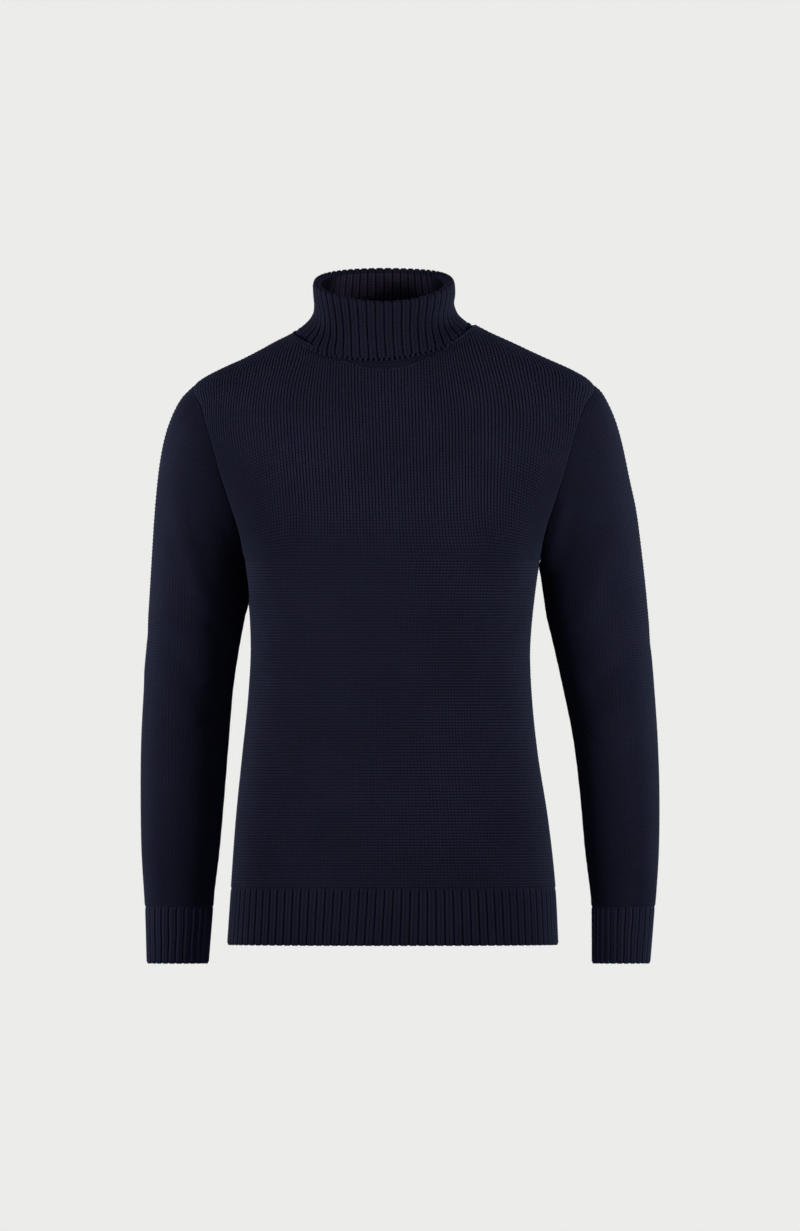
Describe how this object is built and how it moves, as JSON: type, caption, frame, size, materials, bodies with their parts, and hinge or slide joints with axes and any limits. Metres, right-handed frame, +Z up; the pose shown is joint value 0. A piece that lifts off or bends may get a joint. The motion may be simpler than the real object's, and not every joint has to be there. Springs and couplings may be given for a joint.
{
  "type": "turtleneck sweater",
  "caption": "Knitted long-sleeved turtleneck sweater in its worn shape, hollow, with a folded ribbed collar, ribbed hem and ribbed cuffs.",
  "frame": {"origin": "midway between the shoulders at the height where the shoulder line meets the collar, in the neck opening, where the wearer's shoulders and neck hold the garment", "axes": "+Z up along the body towards the collar, -Y the front of the garment, +X the wearer's left arm"},
  "size_m": [0.58, 0.2302, 0.7772],
  "materials": {
    "front_jersey": "matt navy cotton, plain knit",
    "back_jersey": "matt navy cotton, plain knit",
    "hem_front_rib": "matt navy cotton, ribbed knit",
    "hem_back_rib": "matt navy cotton, ribbed knit",
    "sleeve_left_jersey": "matt navy cotton, plain knit",
    "sleeve_right_jersey": "matt navy cotton, plain knit",
    "cuff_left_rib": "matt navy cotton, ribbed knit",
    "cuff_right_rib": "matt navy cotton, ribbed knit",
    "neckband_jersey": "matt navy cotton, plain knit",
    "collar_rib": "matt navy cotton, ribbed knit"
  },
  "bodies": {
    "root": {"front": "front_jersey", "back": "back_jersey", "hem_front": "hem_front_rib", "hem_back": "hem_back_rib", "sleeve_left": "sleeve_left_jersey", "sleeve_right": "sleeve_right_jersey", "cuff_left": "cuff_left_rib", "cuff_right": "cuff_right_rib", "neckband": "neckband_jersey", "collar": "collar_rib"}
  },
  "joints": []
}
